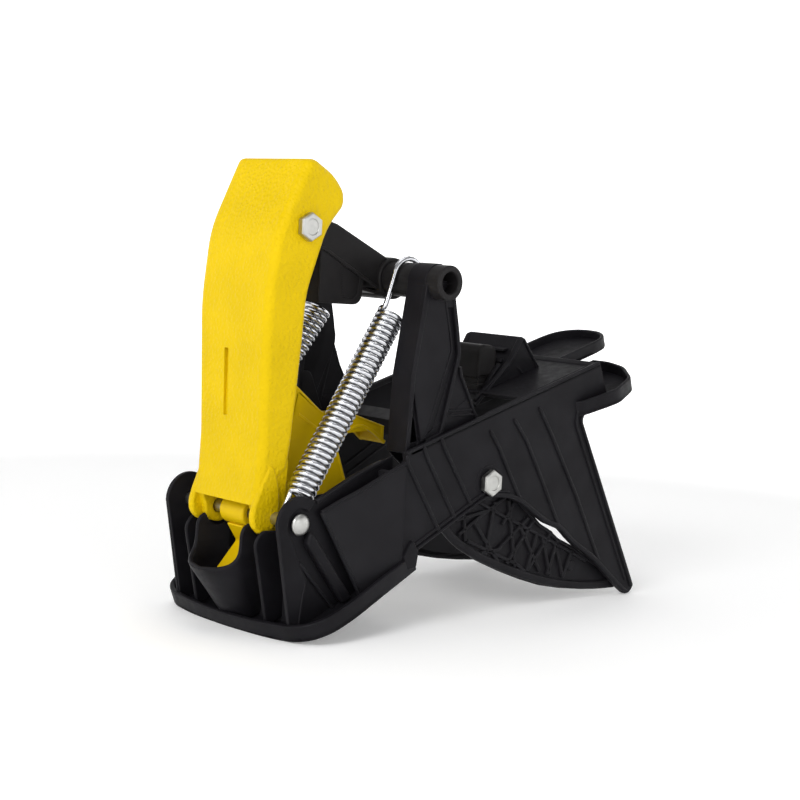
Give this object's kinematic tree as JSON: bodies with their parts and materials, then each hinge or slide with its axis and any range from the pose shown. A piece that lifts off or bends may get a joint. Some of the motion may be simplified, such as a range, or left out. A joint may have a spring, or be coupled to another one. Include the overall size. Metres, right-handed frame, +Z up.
{
  "type": "mole trap",
  "caption": "Foot-set scissor-jaw mole trap, sprung: black plastic jaws crossed at a bolted pivot, tall yellow foot pedal, trigger plate, toggle link and steel tension springs.",
  "frame": {"origin": "centre of the bounding box on the ground plane", "axes": "+X from the pedal end to the jaw tips, +Y to the right seen from the pedal, +Z up"},
  "size_m": [0.2581, 0.114, 0.2096],
  "materials": {
    "black_plastic": "moulded, finely textured",
    "yellow_plastic": "moulded, grained",
    "zinc_steel": "bright zinc plate"
  },
  "bodies": {
    "base": {"front_jaw_body": "black_plastic", "latch_box": "black_plastic", "front_pin": "zinc_steel", "front_pin_cap": "zinc_steel", "pivot_bolt_left": "zinc_steel", "pivot_sleeve_left": "zinc_steel", "pivot_washer_left": "zinc_steel", "pivot_nut_left": "zinc_steel", "pivot_bolt_right": "zinc_steel", "pivot_sleeve_right": "zinc_steel", "pivot_washer_right": "zinc_steel", "pivot_nut_right": "zinc_steel"},
    "rear_jaw": {"rear_jaw_frame": "black_plastic", "cross_tube": "black_plastic"},
    "pedal": {"pedal_handle": "yellow_plastic", "link_bolt": "zinc_steel", "link_nut": "zinc_steel", "link_spacer": "zinc_steel"},
    "trigger": {"trigger_plate": "yellow_plastic"},
    "toggle": {"toggle_link": "black_plastic", "latch_catch": "black_plastic"},
    "spring_left_lower": {"spring_left_coil": "zinc_steel"},
    "spring_left_upper": {"spring_left_hook": "zinc_steel"},
    "spring_right_lower": {"spring_right_coil": "zinc_steel"},
    "spring_right_upper": {"spring_right_hook": "zinc_steel"}
  },
  "joints": [
    {"name": "rear_jaw_hinge", "type": "hinge", "parent": "base", "child": "rear_jaw", "pos_m": [0.00275, 0, 0.0649], "axis": [0, 1, 0], "range_deg": [0, 36], "stiffness_Nm_per_rad": 4, "springref_deg": -14.32},
    {"name": "pedal_hinge", "type": "hinge", "parent": "base", "child": "pedal", "pos_m": [-0.10585, 0, 0.0517], "axis": [0, 1, 0], "range_deg": [0, 27]},
    {"name": "trigger_hinge", "type": "hinge", "parent": "base", "child": "trigger", "pos_m": [-0.10585, 0, 0.0517], "axis": [0, 1, 0], "range_deg": [-6, 0]},
    {"name": "toggle_hinge", "type": "hinge", "parent": "rear_jaw", "child": "toggle", "pos_m": [-0.03315, 0, 0.1582], "axis": [0, 1, 0], "range_deg": [-56, 0]},
    {"name": "spring_left_swing", "type": "hinge", "parent": "base", "child": "spring_left_lower", "pos_m": [-0.10585, 0, 0.0517], "axis": [0, 1, 0], "range_deg": [0, 17]},
    {"name": "spring_left_stretch", "type": "slide", "parent": "spring_left_lower", "child": "spring_left_upper", "axis": [0.5631, 0.0503, 0.8249], "range_m": [0, 0.0465], "deforming": ["spring_left_coil", "spring_left_hook"]},
    {"name": "spring_right_swing", "type": "hinge", "parent": "base", "child": "spring_right_lower", "pos_m": [-0.10585, 0, 0.0517], "axis": [0, 1, 0], "range_deg": [0, 17]},
    {"name": "spring_right_stretch", "type": "slide", "parent": "spring_right_lower", "child": "spring_right_upper", "axis": [0.5631, -0.0503, 0.8249], "range_m": [0, 0.0465], "deforming": ["spring_right_coil", "spring_right_hook"]}
  ],
  "couplings": [
    {"joint": "pedal_hinge", "follows": "rear_jaw_hinge", "ratio": 0.74},
    {"joint": "toggle_hinge", "follows": "rear_jaw_hinge", "ratio": -1.53},
    {"joint": "spring_left_swing", "follows": "rear_jaw_hinge", "ratio": 0.455},
    {"joint": "spring_left_stretch", "follows": "rear_jaw_hinge", "m_per_rad": 0.073},
    {"joint": "spring_right_swing", "follows": "rear_jaw_hinge", "ratio": 0.455},
    {"joint": "spring_right_stretch", "follows": "rear_jaw_hinge", "m_per_rad": 0.073}
  ]
}
